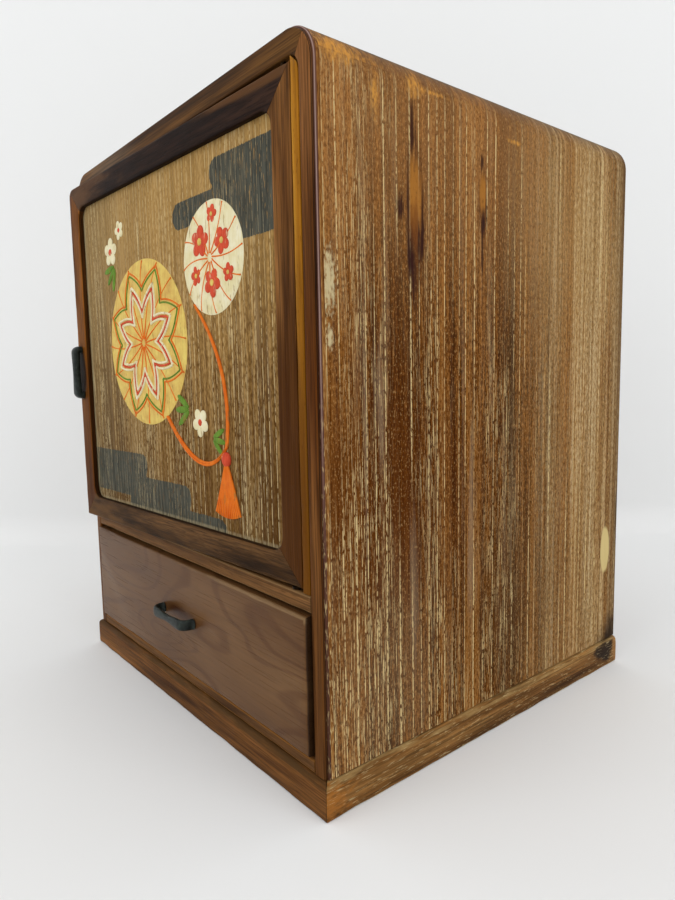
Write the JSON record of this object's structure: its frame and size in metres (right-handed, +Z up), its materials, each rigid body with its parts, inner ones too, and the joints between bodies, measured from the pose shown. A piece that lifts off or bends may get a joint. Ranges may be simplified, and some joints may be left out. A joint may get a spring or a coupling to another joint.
{
  "type": "tabletop tansu",
  "caption": "Small wooden tabletop cabinet with rounded top corners, a framed hinged door over a drawer, black iron bow handles and a low plinth.",
  "frame": {"origin": "on the ground, under the middle of the whole cabinet with its door a little ajar", "axes": "+Z up, +X to the right as seen from the front, front facing -Y"},
  "size_m": [0.2436, 0.2377, 0.3],
  "materials": {
    "side_wood": "raised grain, worn brown stain",
    "top_wood": "smooth, worn brown stain",
    "facing_wood": "satin dark reddish brown",
    "strip_wood": "satin orange ochre",
    "door_wood": "satin dark brown",
    "panel_wood": "raised grain, painted design",
    "drawer_wood": "satin mid brown",
    "plain_wood": "bare planed wood",
    "plinth_wood": "satin brown, worn edges",
    "black_iron": "matte black",
    "pin_brass": "dull"
  },
  "bodies": {
    "cabinet": {"side_left": "side_wood", "side_right": "side_wood", "back_panel": "side_wood", "top_board": "top_wood", "bottom_board": "plain_wood", "divider_board": "plain_wood", "shelf": "plain_wood", "shelf_cleat_left": "plain_wood", "shelf_cleat_right": "plain_wood", "plinth_front": "plinth_wood", "plinth_left": "plinth_wood", "plinth_right": "plinth_wood", "plinth_back": "plinth_wood", "facing_stile_left": "facing_wood", "facing_stile_right": "facing_wood", "facing_top_rail": "facing_wood", "facing_mid_rail": "facing_wood", "facing_bottom_rail": "facing_wood", "hinge_strip": "strip_wood", "door_stop": "plain_wood", "pivot_pin_upper": "pin_brass", "pivot_pin_lower": "pin_brass", "pivot_washer": "pin_brass"},
    "door": {"door_top_rail": "door_wood", "door_bottom_rail": "door_wood", "door_latch_stile": "door_wood", "door_hinge_stile": "door_wood", "door_panel": "panel_wood", "door_handle": "black_iron", "door_handle_nut_lower": "black_iron", "door_handle_nut_upper": "black_iron"},
    "drawer": {"drawer_front": "drawer_wood", "drawer_side_left": "plain_wood", "drawer_side_right": "plain_wood", "drawer_back": "plain_wood", "drawer_bottom": "plain_wood", "drawer_handle": "black_iron", "drawer_handle_nut_left": "black_iron", "drawer_handle_nut_right": "black_iron"}
  },
  "joints": [
    {"name": "door_hinge", "type": "hinge", "parent": "cabinet", "child": "door", "pos_m": [0.10099, -0.10104, 0.0904], "axis": [0, 0, 1], "range_deg": [-2.4, 117.6]},
    {"name": "drawer_slide", "type": "slide", "parent": "cabinet", "child": "drawer", "axis": [0, -1, 0], "range_m": [-0.002, 0.15]}
  ]
}
